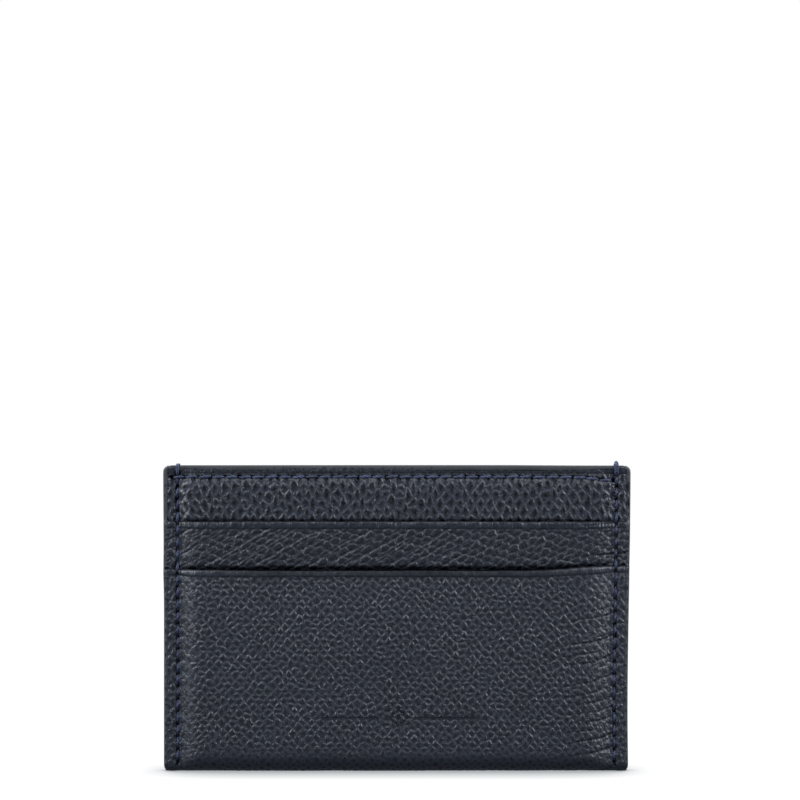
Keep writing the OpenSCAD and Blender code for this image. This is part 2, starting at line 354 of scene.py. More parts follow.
def tuck(z):
    """How far the edge of the outer leather presses the layers behind it inwards."""
    return 0.60 * smooth((z - 35.0) / 5.0) * (1 - smooth((z - LOWER_MOUTH + 0.4) / 1.3))


def creases(u, v, spacing, width, seed, whole=0.65):
    """Wandering creases that follow lines of constant v, less broken the greater whole is."""
    v = v + 0.55 * noise(u, v, 7.0, seed) + 0.22 * noise(u, v, 2.3, seed + 1)
    k = np.floor(v / spacing)
    off = (v / spacing - k - 0.5 + 0.5 * (hashed(k, 0 * k, seed + 2) - 0.5)) * spacing
    strength = smooth(whole + 1.2 * noise(u, k * 9.7, 8.0, seed + 3))
    return np.exp(-((off / width) ** 2)) * strength


def pebbles(x, s, width, row, seed, squash=0.5, turn=0.0, jitter=0.5):
    """Milled grain: the height of its pebbles, and how pale it is, most between them, where the
    paleness is a painted highlight on the network.

    Pebbles are width apart along their rows and the rows are row apart, after the grain has
    turned by that many degrees.
    """
    cosine, sine = math.cos(math.radians(turn)), math.sin(math.radians(turn))
    x, s = x * cosine + s * sine, s * cosine - x * sine
    u = x + 0.35 * noise(x, s, 3.1, seed) + 0.08 * noise(x, s, 1.2, seed + 1)
    v = s + 0.35 * noise(x, s, 3.1, seed + 2) + 0.08 * noise(x, s, 1.2, seed + 3)
    border, number = cells(u / width, v / row, seed + 4, squash, jitter)
    flank = 1.0 - np.exp(-border * width / 0.18)
    dome = 1.0 - (1.0 - np.clip(border / 0.36, 0, 1)) ** 2
    split, _ = cells(u / width * 1.9 + 0.3, v / row * 1.9, seed + 5, squash)
    fine = np.exp(-split * width / 1.9 / 0.10)
    height = 0.15 * flank + (0.09 + 0.08 * (number - 0.5)) * dome - 0.03 * fine
    groove = 0.42 * np.exp(-((border / 0.21) ** 2)) + 0.58 * np.exp(-border / 0.07)
    return height - 0.14, np.maximum(groove, 0.30 * fine)


def turned_edge(x, s, seed):
    """The band under a mouth: its relief, where it is, its crease, and its pale spots and lines,
    partly wear and partly painted highlight.

    s is the distance below the mouth, along the leather.
    """
    inside = 0.85 * (1 - smooth((s - 1.5) / 0.5))
    near_rim = smooth((1.3 - s) / 0.8)
    lumps = 0.13 * noise(x, 0.4 * s, 1.3, seed) + 0.09 * noise(x, 0.4 * s, 0.65, seed + 1)
    lumps = lumps * (0.3 + 0.7 * near_rim)
    crease = np.exp(-(((s - 1.85) / 0.15) ** 2))
    # painted highlight, partly wear: pale spots under the rim, strongest towards the ends, a pale
    # line under the crease and a paler band
    spots = smooth(0.1 + 0.9 * noise(x, 0, 1.4, seed + 2) + 0.7 * noise(x, 0, 0.6, seed + 3))
    ends = 0.4 + 0.6 * smooth((np.abs(x) - 24.0) / 22.0)
    wear_and_highlight = ends * spots * np.exp(-(((s - 0.62) / 0.36) ** 2))
    wear_and_highlight = wear_and_highlight + 0.35 * np.exp(-(((s - 2.0) / 0.13) ** 2)) + 0.22 * inside
    return inside * (lumps + 0.04) - 0.04 * crease, inside, crease, wear_and_highlight


# ---------- materials


def new_material(name):
    material = bpy.data.materials.new(name)
    material.use_nodes = True
    return material, material.node_tree


def add(tree, kind, **settings):
    """A node with its settings; a number or colour goes on the input of that name."""
    node = tree.nodes.new(kind)
    for key, value in settings.items():
        if key in node.inputs:
            node.inputs[key].default_value = value
        else:
            setattr(node, key, value)
    return node


def feed(tree, value, socket):
    """Puts a number or a colour on a socket, or joins another node's output to it."""
    if isinstance(value, (int, float)):
        socket.default_value = value
    elif isinstance(value, tuple):
        socket.default_value = (*value, 1.0)
    else:
        tree.links.new(value, socket)


def surface(tree, **inputs):
    """Feeds the Principled node; an underscore stands for a space in an input's name."""
    bsdf = tree.nodes["Principled BSDF"]
    for name, value in inputs.items():
        feed(tree, value, bsdf.inputs[name.replace("_", " ")])


def maths(tree, operation, first, second):
    """The result of a sum on two numbers or outputs."""
    node = add(tree, "ShaderNodeMath", operation=operation)
    for value, socket in zip((first, second), node.inputs):
        feed(tree, value, socket)
    return node.outputs[0]


def mix(tree, factor, first, second):
    """The first colour where the factor is 0 and the second where it is 1."""
    node = add(tree, "ShaderNodeMix", data_type="RGBA")
    for value, socket in zip((factor, first, second), (0, 6, 7)):
        feed(tree, value, node.inputs[socket])
    return node.outputs[2]


def ramp(tree, source, *stops):
    """Runs from one colour to another between two values of the source."""
    node = add(tree, "ShaderNodeValToRGB")
    for element, (position, colour) in zip(node.color_ramp.elements, stops):
        element.position = position
        element.color = (*colour, 1.0)
    tree.links.new(source, node.inputs["Fac"])
    return node.outputs["Color"]


def grey(value):
    return (value, value, value)


def object_place(tree):
    return add(tree, "ShaderNodeTexCoord").outputs["Object"]


def moved(tree, place, **settings):
    """The place after a shift, a turn or a scaling."""
    node = add(tree, "ShaderNodeMapping", **settings)
    tree.links.new(place, node.inputs["Vector"])
    return node.outputs["Vector"]


def texture(tree, kind, place, output="Fac", **settings):
    """A texture of that kind, read at the given place."""
    node = add(tree, f"ShaderNodeTex{kind}", **settings)
    tree.links.new(place, node.inputs["Vector"])
    return node.outputs[output]


def stored(tree, name):
    """A value from 0 to 1 that the mesh carries."""
    return add(tree, "ShaderNodeAttribute", attribute_name=name).outputs["Fac"]


def bump(tree, height, strength, distance):
    node = add(tree, "ShaderNodeBump", Strength=strength, Distance=distance)
    tree.links.new(height, node.inputs["Height"])
    return node.outputs["Normal"]


def leather_bump(tree, place, pores, on_edge):
    """Pores, fine creases between the pebbles' facets, and micro-wrinkles on the turned edges."""
    bent = add(tree, "ShaderNodeVectorMath", operation="MULTIPLY_ADD")
    bend = texture(tree, "Noise", place, "Color", Scale=800.0, Detail=2.0)
    tree.links.new(bend, bent.inputs[0])
    bent.inputs[1].default_value = (0.0007, 0.0007, 0.0007)
    tree.links.new(place, bent.inputs[2])
    turned = moved(tree, bent.outputs[0], Rotation=(0.0, math.pi / 4, 0.0), Scale=(950, 950, 720))
    lines = texture(
        tree, "Voronoi", turned, "Distance", feature="DISTANCE_TO_EDGE", Scale=1.0, Randomness=0.7
    )
    creased = ramp(tree, lines, (0.0, grey(0.0)), (0.20, grey(1.0)))
    upright = moved(tree, place, Scale=(2100.0, 2100.0, 160.0))
    wrinkles = texture(tree, "Noise", upright, Scale=1.0, Detail=2.0)

    off_edge = maths(tree, "SUBTRACT", 1.0, on_edge)
    fine = maths(tree, "MULTIPLY", maths(tree, "MULTIPLY", creased, 0.60), off_edge)
    ribs = maths(tree, "MULTIPLY", maths(tree, "MULTIPLY", wrinkles, on_edge), 3.0)
    height = maths(tree, "ADD", fine, ribs)
    height = maths(tree, "ADD", height, maths(tree, "MULTIPLY", pores, 0.35))
    return bump(tree, height, 0.9, 0.00010)


def leather_material(name, light, groove, shift):
    """Dyed, milled leather: mottled, with a painted highlight where its grooves are paler, and
    painted shade, black and matt, in needle holes, creases and shaded places.
    """
    material, tree = new_material(name)
    place = moved(tree, object_place(tree), Location=(shift, shift * 2.0, 0.0))
    mottle = texture(tree, "Noise", place, Scale=90.0, Detail=5.0, Roughness=0.6)
    pores = texture(tree, "Noise", place, Scale=5200.0, Detail=3.0, Roughness=0.65)
    on_edge, painted_shade = stored(tree, "edge"), stored(tree, "painted_shade")
    tone = ramp(tree, mottle, (0.32, LEATHER_DARK), (0.68, light))
    tone = mix(tree, stored(tree, "groove"), tone, groove)
    rough = ramp(tree, pores, (0.3, grey(0.31)), (0.7, grey(0.44)))
    rough = mix(tree, on_edge, rough, grey(0.30))
    unshaded = maths(tree, "SUBTRACT", 1.0, painted_shade)
    surface(
        tree,
        # painted shade: black, matt and without specular wherever the mesh's painted shade value is
        # high
        Base_Color=mix(tree, painted_shade, tone, SHADE_BLACK),
        Roughness=mix(tree, painted_shade, rough, grey(0.85)),
        Specular_IOR_Level=maths(tree, "MULTIPLY", unshaded, 0.5),
        Normal=leather_bump(tree, place, pores, on_edge),
    )
    return material


def paint_material():
    """Edge paint: a smooth, slightly orange-peeled satin coat."""
    material, tree = new_material("edge_paint")
    place = object_place(tree)
    uneven = texture(tree, "Noise", place, Scale=260.0, Detail=4.0)
    peel = texture(tree, "Noise", place, Scale=1900.0, Detail=2.0)
    surface(
        tree,
        Base_Color=ramp(tree, uneven, (0.3, (0.012, 0.014, 0.016)), (0.7, (0.020, 0.022, 0.025))),
        Roughness=ramp(tree, uneven, (0.3, grey(0.52)), (0.7, grey(0.66))),
        Normal=bump(tree, peel, 0.3, 0.00004),
    )
    return material


def thread_material():
    """Twisted polyester: fibres along each ply, and a soft sheen."""
    material, tree = new_material("thread")
    place = object_place(tree)
    fibre = texture(tree, "Noise", place, Scale=9000.0, Detail=3.0)
    patch = texture(tree, "Noise", place, Scale=420.0, Detail=2.0)
    tone = ramp(tree, patch, (0.30, (0.012, 0.020, 0.054)), (0.72, (0.045, 0.067, 0.150)))
    surface(
        tree,
        # painted shade in the valleys between the plies
        Base_Color=mix(tree, stored(tree, "groove"), tone, (0.004, 0.006, 0.018)),
        Roughness=ramp(tree, fibre, (0.3, grey(0.45)), (0.7, grey(0.7))),
        Normal=bump(tree, fibre, 0.5, 0.00003),
        Sheen_Weight=0.15,
        Specular_IOR_Level=0.3,
    )
    return material


def lining_material():
    """Fine plain-weave lining, from two crossed waves."""
    material, tree = new_material("lining")
    place = object_place(tree)
    warps, wefts = (
        texture(tree, "Wave", place, bands_direction=across, Scale=520.0, Distortion=0.4)
        for across in ("X", "Z")
    )
    weave = maths(tree, "MULTIPLY", warps, wefts)
    surface(
        tree,
        Base_Color=ramp(tree, weave, (0.0, (0.006, 0.007, 0.011)), (1.0, (0.020, 0.023, 0.034))),
        Normal=bump(tree, weave, 0.6, 0.00005),
        Roughness=0.8,
        Sheen_Weight=0.3,
    )
    return material


def board_material():
    """Bonded fibre board: pale, flecked and matt."""
    material, tree = new_material("board")
    place = object_place(tree)
    fleck = texture(tree, "Noise", place, Scale=1500.0, Detail=6.0, Roughness=0.75)
    surface(
        tree,
        Base_Color=ramp(tree, fleck, (0.35, (0.17, 0.12, 0.08)), (0.65, (0.36, 0.29, 0.21))),
        Normal=bump(tree, fleck, 0.4, 0.00005),
        Roughness=0.9,
    )
    return material


LEATHER_DARK = (0.0045, 0.006, 0.010)
# the colour of painted shade in needle holes, creases and shaded places
SHADE_BLACK = (0.0008, 0.0010, 0.0018)
MATERIALS = {
    "outer_leather": leather_material(
        "grained_outer", (0.008, 0.010, 0.016), (0.025, 0.030, 0.040), 0.0
    ),
    "pocket_leather": leather_material(
        "grained_pocket", (0.007, 0.009, 0.015), (0.023, 0.028, 0.038), 3.7
    ),
    "edge_paint": paint_material(),
    "thread": thread_material(),
    "lining": lining_material(),
    "board": board_material(),
}

# ---------- leather pieces

# rows of a section: along the fold, up each face, over a rim, and as far as the rim's crest
FOLD_ROWS, BACK_ROWS, FRONT_ROWS, RIM_ROWS, RIM_CREST = 20, 137, 206, 13, 7
# rows of the upper pocket that the lower one hides
HIDDEN_ROWS = 6
# a rim's height over its half thickness
RIM_TALL = 2.8
# the fold's centre is lower than its radius, so that its underside comes out pressed flat
FOLD_CENTRE = 4.08
OUTER_HEM, POCKET_HEM, HEM_STEP = 7.0, 6.0, 0.2
POCKET_SLOPE = 30.0
CORNER_R = 1.4


def sheet_points(xs, middle, seam, side):
    """Lofts a cross-section over xs, from its middle form to its form at the side seams."""
    weight = press(xs)[None, :, None]
    section = middle[:, None, :] * (1 - weight) + seam[:, None, :] * weight
    x = np.broadcast_to(xs[None, :], section.shape[:2])
    return np.stack([x, side * section[..., 0], section[..., 1]], axis=-1)


def rim(face, back, mouth):
    """The rounded top of a turned edge, from its outer face over to its inner one."""
    r = (face - back) / 2
    a = np.radians(np.linspace(0, 180, RIM_ROWS, endpoint=False))
    return np.stack([face - r + r * np.cos(a), mouth - RIM_TALL * r * (1 - np.sin(a))], axis=-1)


def outer_half(face, back, hem_back, face_rows):
    """Half of the U-folded leather: under the fold, up its face, over the mouth and down inside."""
    fold_z = face - (OUTER_FACE - FOLD_CENTRE)
    crest = LOWER_MOUTH - RIM_TALL * (face - hem_back) / 2
    hem_z = LOWER_MOUTH - OUTER_HEM
    return np.concatenate([
        arc(0.0, fold_z, face, -90, 0, FOLD_ROWS),
        line(face, fold_z, face, crest, face_rows),
        rim(face, hem_back, LOWER_MOUTH),
        line(hem_back, crest, hem_back, hem_z, 4),
        line(hem_back, hem_z, back, hem_z - HEM_STEP, 1),
        line(back, hem_z - HEM_STEP, back, fold_z, 4),
        arc(0.0, fold_z, back, 0, -90, 8),
        [[0.0, fold_z - back]],
    ])


def closed(back_half, front_half):
    """A folded sheet's closed section: up one half, then down the mirror image of the other."""
    return np.concatenate([back_half, front_half[1:-1][::-1] * np.array([-1.0, 1.0])])


def outer_loop(*layers):
    """The outer leather's whole section, from its face, its back and its hem's back."""
    return closed(outer_half(*layers, BACK_ROWS), outer_half(*layers, FRONT_ROWS))


def strip_section(face, back, hem_back, face_rows):
    """The upper pocket's leather, a flat strip with a turned top edge."""
    bottom, hidden = pocket_low[2], LOWER_MOUTH - 0.6
    crest = UPPER_MOUTH - RIM_TALL * (face - hem_back) / 2
    hem_z = UPPER_MOUTH - POCKET_HEM
    return np.concatenate([
        line(face, bottom, face, hidden, HIDDEN_ROWS),
        line(face, hidden, face, crest, face_rows),
        rim(face, hem_back, UPPER_MOUTH),
        line(hem_back, crest, hem_back, hem_z, 12),
        line(hem_back, hem_z, back, hem_z - HEM_STEP, 1),
        line(back, hem_z - HEM_STEP, back, bottom, 14),
        [[back, bottom]],
    ])


def run_length(section):
    """Length along a section's rows, as one running number per row."""
    steps = np.linalg.norm(np.diff(section, axis=0), axis=1)
    return np.concatenate([[0.0], np.cumsum(steps)])


def skin(section, top_row):
    """Distance along the outer skin, and 1 on it, for each row; the skin ends at top_row."""
    distance, on = np.zeros((2, len(section), 1))
    distance[: top_row + 1, 0] = run_length(section[: top_row + 1])
    on[: top_row + 1] = 1.0
    return distance, on


def ornament(x, z):
    """A blind-stamped lozenge between two bars: how far each point is inside a stamp."""
    centre_x, centre_z = 0.4, 12.2
    u, v = np.abs(x - centre_x), np.abs(z - centre_z)
    lozenge = 2.35 - (u + v)
    ring = np.minimum(lozenge, 0.75 - lozenge)
    bar = np.minimum(np.minimum(17.4 - u, u - 4.3), 0.34 - v)
    stamp = np.maximum(np.maximum(ring, bar), 0.9 - (u + v))
    return smooth(stamp / 0.22 + 0.5)


def pulls_at_sides(x, z, seed):
    """Creases that fan out from the stitches: long ones at the right, short arcs at the left."""
    right = np.clip(SEAM_X - x, 0.0, None)
    bent = z + 1.9 * (1 - np.exp(-right / 4.5)) + 0.05 * right
    fan = creases(x, bent, 2.3, 0.22, seed, 0.8) * smooth((19.0 - right) / 17.0) * (x < SEAM_X)
    fan = fan * smooth((39.0 - z) / 5.0)
    left = np.clip(x + SEAM_X, 0.0, None)
    arcs = creases(x, z - 0.10 * left, 1.5, 0.17, seed + 9) * np.exp(-left / 2.8) * (x > -SEAM_X)
    return 0.20 * fan + 0.06 * arcs


def pocket_creases(x, z, seed):
    """The upper pocket's long diagonal creases, and at its right end level ones and a deep one."""
    slope = math.radians(POCKET_SLOPE)
    drift = z * math.cos(slope) - x * math.sin(slope)
    along = z * math.sin(slope) + x * math.cos(slope)
    diagonal = creases(along, drift, 2.1, 0.17, seed, 1.0) * smooth((32.0 - x) / 30.0)
    right = np.clip(SEAM_X - x, 0.0, None)
    level = creases(x, z + 0.10 * right, 1.9, 0.18, seed + 10) * np.exp(-right / 7.0) * (x < SEAM_X)
    deep = np.exp(-(((z - LOWER_MOUTH - 3.2 + 0.12 * right) / 0.24) ** 2)) * np.exp(-right / 5.0)
    return diagonal, level, deep


def lip_shade(z, mouth):
    """Darkens the very top of a turned edge, where it rolls over into the slot."""
    return 0.75 * smooth((z - mouth + 0.30) / 0.16)


def slot_shade(z, mouth, fade, pale):
    """Shadow just above a mouth, on the layer behind it, which the pale network catches less."""
    return np.exp(-np.clip(z - mouth, 0, None) / fade) * (1 - pale)


def stretched(x):
    """How much grain is left where the seams stretch the leather: least by the left one."""
    by_left = 0.80 * smooth((5.6 - (x + SEAM_X)) / 3.0) * (x > -SEAM_X)
    by_right = 0.40 * smooth((11.0 - (SEAM_X - x)) / 7.0) * (x < SEAM_X)
    outside = 0.1 * (np.abs(x) > SEAM_X)
    return 1.0 - np.maximum(np.maximum(by_left, by_right), outside)


def leather_piece(name, node, slot, side, base, on, relief, values):
    """Raises the relief from the outer skin and makes the sheet."""
    points = base + normals_of(base, side) * (relief * on)[..., None]
    values = {
        key: np.broadcast_to(np.clip(value, 0, 1) * on, relief.shape)
        for key, value in values.items()
    }
    obj = lofted(name, points, side, slot, node, values)


def outer_panel():
    """The leather folded under the bottom: the outer wall of both lower pockets."""
    middle = outer_loop(OUTER_FACE, OUTER_BACK, OUTER_BACK - 0.19)
    seam = outer_loop(OUTER_SEAM, POCKET_SEAM + 0.02, POCKET_SEAM + 0.01)
    base = sheet_points(columns(0.2, 0.2), middle, seam, 1)
    X, Z = base[..., 0], base[..., 2]
    # S runs up the back of the leather from the bottom line, and down the front as a negative
    S, on = skin(middle, FOLD_ROWS + BACK_ROWS + RIM_CREST)
    front_top = FOLD_ROWS + FRONT_ROWS + RIM_CREST
    front = np.concatenate([middle[-front_top:], middle[:1]])
    S[-front_top:, 0] = -run_length(front[::-1])[1:][::-1]
    on[-front_top:] = 1.0
    below = np.clip(S.max() - np.abs(S), 0.0, None)

    height, groove = pebbles(X, S, 2.0, 1.2, 11)
    edge, inside, crease, wear_and_highlight = turned_edge(X, below, 31)
    sewn, hole = seam_relief(X, Z)
    pulls = pulls_at_sides(X, Z, 51)
    # the grain is pressed flat over the bottom fold
    flat = 1.0 - 0.7 * smooth((10.0 - np.abs(S)) / 5.0)
    stamp = ornament(X, Z) * (S < 0)
    sag = 0.10 * noise(X, S, 17.0, 71) + 0.05 * noise(X, S, 7.0, 72)
    relief = height * (1 - inside) * flat * stretched(X) * (1 - 0.92 * stamp)
    relief = relief + edge + sewn - pulls + sag * (1 - press(X)) - 0.16 * stamp
    # painted shade keeps the middle of the mouth duller than its ends
    shade = 0.60 * np.exp(-((below / 1.7) ** 2)) * smooth((46.0 - np.abs(X)) / 20.0)
    shade = shade + lip_shade(Z, LOWER_MOUTH)
    grained = (1 - inside) * (1 - stamp)
    # painted highlight on the grain network and the turned edge, partly wear, and paler colour on
    # the fold's underside standing in for light from below; painted shade on the pebbles' cores, in
    # needle holes, the crease, the slot and the pulled creases
    values = {
        "groove": groove * grained * flat + wear_and_highlight + 0.30 * (1 - flat),
        "painted_shade": 0.45 * core_shade(groove) * grained + 1.4 * hole + 0.10 * crease + shade + 2.1 * pulls,
        "edge": inside + stamp,
    }
    leather_piece(
        "outer_leather", "outer_panel", "outer_leather", 1, base, on, relief, values
    )


def upper_pocket(side, name):
    """The strip of leather in front of an upper pocket."""
    seed = 100 if side == FRONT else 300
    face_rows = 52
    middle = strip_section(POCKET_FACE, POCKET_BACK, bag_low[1], face_rows)
    seam = strip_section(POCKET_SEAM, BODY_FACE + 0.02, BODY_FACE + 0.01, face_rows)
    base = sheet_points(columns(0.2, 0.18), middle, seam, side)
    X, Z = base[..., 0], base[..., 2]
    base[..., 1] -= side * tuck(Z) * (1 - press(X))
    S, on = skin(middle, HIDDEN_ROWS + face_rows + RIM_CREST)
    below = np.clip(S.max() - S, 0.0, None)

    height, groove = pebbles(X, S, 2.4, 1.35, seed, squash=1.1, turn=POCKET_SLOPE, jitter=0.4)
    edge, inside, crease, wear_and_highlight = turned_edge(X, below, seed + 20)
    sewn, hole = seam_relief(X, Z)
    diagonal, level, deep = pocket_creases(X, Z, seed + 30)
    sag = 0.14 * noise(X, S, 14.0, seed + 50) + 0.07 * noise(X, S, 6.0, seed + 51)
    relief = height * (1 - inside) * stretched(X) + edge + sewn
    relief = relief - 0.17 * diagonal * (1 - inside) - 0.12 * level - 0.30 * deep
    relief = relief + sag * (1 - press(X))
    # painted highlight on the grain network and the diagonal creases
    pale = np.clip(groove * (1 - 0.30 * smooth((20.0 - X) / 30.0)) + diagonal, 0, 1)
    shade = 0.85 * slot_shade(Z, LOWER_MOUTH + 0.1, 0.65, 0.75 * pale) + lip_shade(Z, UPPER_MOUTH)
    # painted shade on the pebbles' cores; below, painted shade also in needle holes, the crease, the
    # slot and the deep crease
    grained = 0.40 * core_shade(pale) * (1 - inside)
    values = {
        "groove": pale * (1 - inside) + wear_and_highlight,
        "painted_shade": grained + 1.4 * hole + 0.10 * crease + shade + 0.5 * deep,
        "edge": inside,
    }
    leather_piece(
        f"{name}_pocket_leather", f"{name}_upper_pocket", "pocket_leather", side, base, on, relief,
        values,
    )


def near_top(z):
    """1 along the top edge, falling to 0 below it."""
    return smooth((z - 60.0) / 8.0)


def body_panel(side, name):
    """The leather behind the pockets, which shows as the top strip."""
    seed = 500 if side == FRONT else 700
    bottom, top, hidden = body_low[2], body_high[2], UPPER_MOUTH - 1.0
    hidden_rows, face_rows = 10, 64
    section = np.concatenate([
        line(BODY_FACE, bottom, BODY_FACE, hidden, hidden_rows),
        line(BODY_FACE, hidden, BODY_FACE, top, face_rows),
        [[BODY_FACE, top]],
        line(BODY_BACK, top, BODY_BACK, bottom, 8),
        [[BODY_BACK, bottom]],
    ])
    base = sheet_points(columns(0.2, 0.18), section, section, side)
    X, Z = base[..., 0], base[..., 2]
    Z -= round_corner(X, CUT_X, CORNER_R - 0.35) * near_top(Z)
    _, on = skin(section, hidden_rows + face_rows)

    height, groove = pebbles(X, Z, 2.2, 1.85, seed)
    sewn, hole = seam_relief(X, Z)
    row, row_hole = row_relief(X, Z)
    paint_line = np.exp(-(((Z - (TOP_Z - 1.75)) / 0.18) ** 2))
    grained = 0.35 + 0.65 * smooth((TOP_Z - 1.7 - Z) / 0.6)
    sag = 0.05 * noise(X, Z, 15.0, seed + 50)
    relief = 0.85 * height * grained + sewn + row + strip_swell(X, Z) + sag
    relief = relief - 0.12 * paint_line
    # painted shade above the upper mouth and along the line under the top coat; below, painted shade
    # on the pebbles' cores and in needle holes, and a painted highlight on the grain network
    shade = 0.75 * slot_shade(Z, UPPER_MOUTH, 0.25, 0.7 * groove) + 0.5 * paint_line
    values = {
        "groove": groove * grained,
        "painted_shade": 0.75 * core_shade(groove) * grained + 1.2 * np.maximum(hole, row_hole) + shade,
        "edge": 0.0,
    }
    leather_piece(
        f"{name}_body_leather", f"{name}_body_panel", "pocket_leather", side, base, on, relief,
        values,
    )


# ---------- linings and boards


def two_walls(outer, inner, bottom, top, rows):
    """Up one wall and down the other, without the last point."""
    up, down = line(outer, bottom, outer, top, rows), line(inner, top, inner, bottom, rows)
    return np.concatenate([up, [[outer, top]], down])


def cloth_grid(section, xs, size, seed):
    """A section carried across xs, as x, depth and height, with the waviness of thin cloth."""
    x = np.broadcast_to(xs[None, :], (len(section), len(xs)))
    z = np.broadcast_to(section[:, 1:], x.shape)
    return x, section[:, :1] + 0.02 * noise(x, z, size, seed), z


def cloth_piece(node, points, side):
    """A lining's mesh, lofted from its points."""
    obj = lofted(f"{node}_cloth", points, side, "lining", node)


def flat_lining(side, name, kind, top_z, seed, pressed=False):
    """A glued or hanging textile sheet; a pressed one follows the leather's tuck."""
    low, high = box_mm(f"back_{kind}")
    walls = two_walls(high[1], low[1], low[2], top_z, 40)
    section = np.concatenate([walls, [[low[1], low[2]]]])
    x, depth, z = cloth_grid(section, np.linspace(low[0], high[0], 90), 6.0, seed)
    if pressed:
        depth = depth - tuck(z) * (1 - press(x))
    points = np.stack([x, side * depth, z], axis=-1)
    cloth_piece(f"{name}_{kind}", points, side)


def centre_lining():
    """The folded bag of the centre pocket, with its two top corners cut off."""
    outer_d, inner_d = centre_high[1], centre_high[1] - 0.15
    top, bottom = centre_high[2], centre_low[2] + outer_d
    half = np.concatenate([
        arc(0.0, bottom, outer_d, -90, 0, 8),
        two_walls(outer_d, inner_d, bottom, top, 50),
        arc(0.0, bottom, inner_d, 0, -90, 8),
        [[0.0, bottom - inner_d]],
    ])
    x, y, z = cloth_grid(closed(half, half), np.linspace(-CUT_X, CUT_X, 110), 7.0, 901)
    z = z - cut_corner(x, CUT_X, 1.2) * near_top(z)
    points = np.stack([x, y, z], axis=-1)
    cloth_piece("centre_lining", points, 1)


def board(side, name):
    """The fibre board behind a body panel, with the blunt edges of a die-cut sheet."""
    low, high = box_mm("back_board")
    soft = 0.05
    section = np.array([
        [low[1], low[2] + soft], [low[1] + soft, low[2]],
        [high[1] - soft, low[2]], [high[1], low[2] + soft],
        [high[1], high[2] - soft], [high[1] - soft, high[2]],
        [low[1] + soft, high[2]], [low[1], high[2] - soft],
    ])
    base = sheet_points(np.linspace(low[0], high[0], 60), section, section, side)
    base[..., 2] -= cut_corner(base[..., 0], high[0], 1.1) * near_top(base[..., 2])
    lofted(f"{name}_fibre_board", base, side, "board", f"{name}_board")


# ---------- edge paint


def bead_ring():
    """A round-nosed bead: outwards from 0 to 1, and across from -1 to 1."""
    a = np.linspace(-math.pi / 2, math.pi / 2, 22)
    return np.abs(np.cos(a)) ** 0.62, np.sign(np.sin(a)) * np.abs(np.sin(a)) ** 0.62


def edge_path():
    """Up the right edge and round its top corner: x and z, and which way is outwards."""
    z = np.arange(0.25, TOP_Z - CORNER_R, 0.35)
    angle = np.radians(np.linspace(0, 80, 9))[1:]
    round_out = np.stack([np.cos(angle), np.sin(angle)])
    centre = np.array([[EDGE_X - CORNER_R], [TOP_Z - CORNER_R]])
    path = np.concatenate([[np.full(len(z), EDGE_X), z], centre + CORNER_R * round_out], axis=1)
    outward = np.concatenate([[np.ones(len(z)), np.zeros(len(z))], round_out], axis=1)
    return path, outward


def half_thickness(z):
    """Half the holder's thickness at its side edges, which steps at each mouth."""
    half = BODY_FACE + (POCKET_SEAM - BODY_FACE) * smooth((UPPER_MOUTH + 0.1 - z) / 0.4)
    half = half + (OUTER_SEAM - POCKET_SEAM) * smooth((LOWER_MOUTH + 0.1 - z) / 0.4)
    under = np.clip(OUTER_SEAM - z, 0, None)
    return np.minimum(half, np.sqrt(np.clip(OUTER_SEAM**2 - under**2, 0.2, None)))


def side_paint(end):
    """The coat on a side edge, from the bottom fold up and round the top corner."""
    name = "left" if end < 0 else "right"
    (path_x, path_z), (out_x, out_z) = edge_path()
    out, across = bead_ring()
    wobble = 0.05 * noise(path_z, 0, 3.1, 40 + end) + 0.04 * noise(path_z, 0, 1.1, 44)
    inset = (out[:, None] - 1.0) * (0.95 + wobble)
    y = across[:, None] * (half_thickness(path_z) + 0.07)
    points = np.stack([end * (path_x + inset * out_x), y, path_z + inset * out_z], axis=-1)
    lofted(f"{name}_edge_coat", points, -end, "edge_paint", f"{name}_edge_paint")


def top_paint(side, name):
    """The coat along a top edge; it laps a little way down the leather."""
    xs = np.linspace(-(EDGE_X - 0.9), EDGE_X - 0.9, 260)
    out, across = bead_ring()
    half = (top_paint_high[1] - top_paint_low[1]) / 2 + 0.06
    mid = (top_paint_high[1] + top_paint_low[1]) / 2
    lap = 1.25 - 0.5 * smooth((xs - 40.0) / 8.0) + 0.07 * noise(xs, 0, 4.0, 81 + side)
    rounded = np.clip(np.abs(xs) - (EDGE_X - 1.6), 0, None) * 0.35
    z = TOP_Z - rounded + (out[:, None] - 1.0) * lap
    y = side * (mid + across[:, None] * half)
    points = np.stack(np.broadcast_arrays(xs, y, z), axis=-1)
    lofted(f"{name}_top_edge_coat", points, -side, "edge_paint", f"{name}_top_edge_paint")


# ---------- thread

# a needle thread swells where it isn't pulled down, so it shows thicker than in the CAD
VISIBLE_R = 0.31


def tube(path, normal, radius, twists, phase=0.0):
    """A three-ply twisted thread along a path: its points, and its ply valleys."""
    tangent = np.gradient(path, axis=0)
    tangent /= np.linalg.norm(tangent, axis=1, keepdims=True)
    across = np.cross(tangent, normal)
    across /= np.maximum(np.linalg.norm(across, axis=1, keepdims=True), 1e-9)
    up = np.cross(across, tangent)
    t = np.linspace(0, 1, len(path))
    a = np.linspace(0, 2 * math.pi, 12, endpoint=False)
    ply = np.cos(3 * (a[:, None] - 2 * math.pi * twists * t[None, :] - phase))
    ends = np.clip(np.minimum(t, 1 - t) * 14.0, 0.15, 1.0) ** 0.5
    r = radius * (1 + 0.13 * ply) * ends[None, :]
    ring = np.cos(a)[:, None, None] * up[None] + np.sin(a)[:, None, None] * across[None]
    points = path[None] + ring * r[..., None]
    return points, np.clip(0.5 - 0.9 * ply, 0, 1)


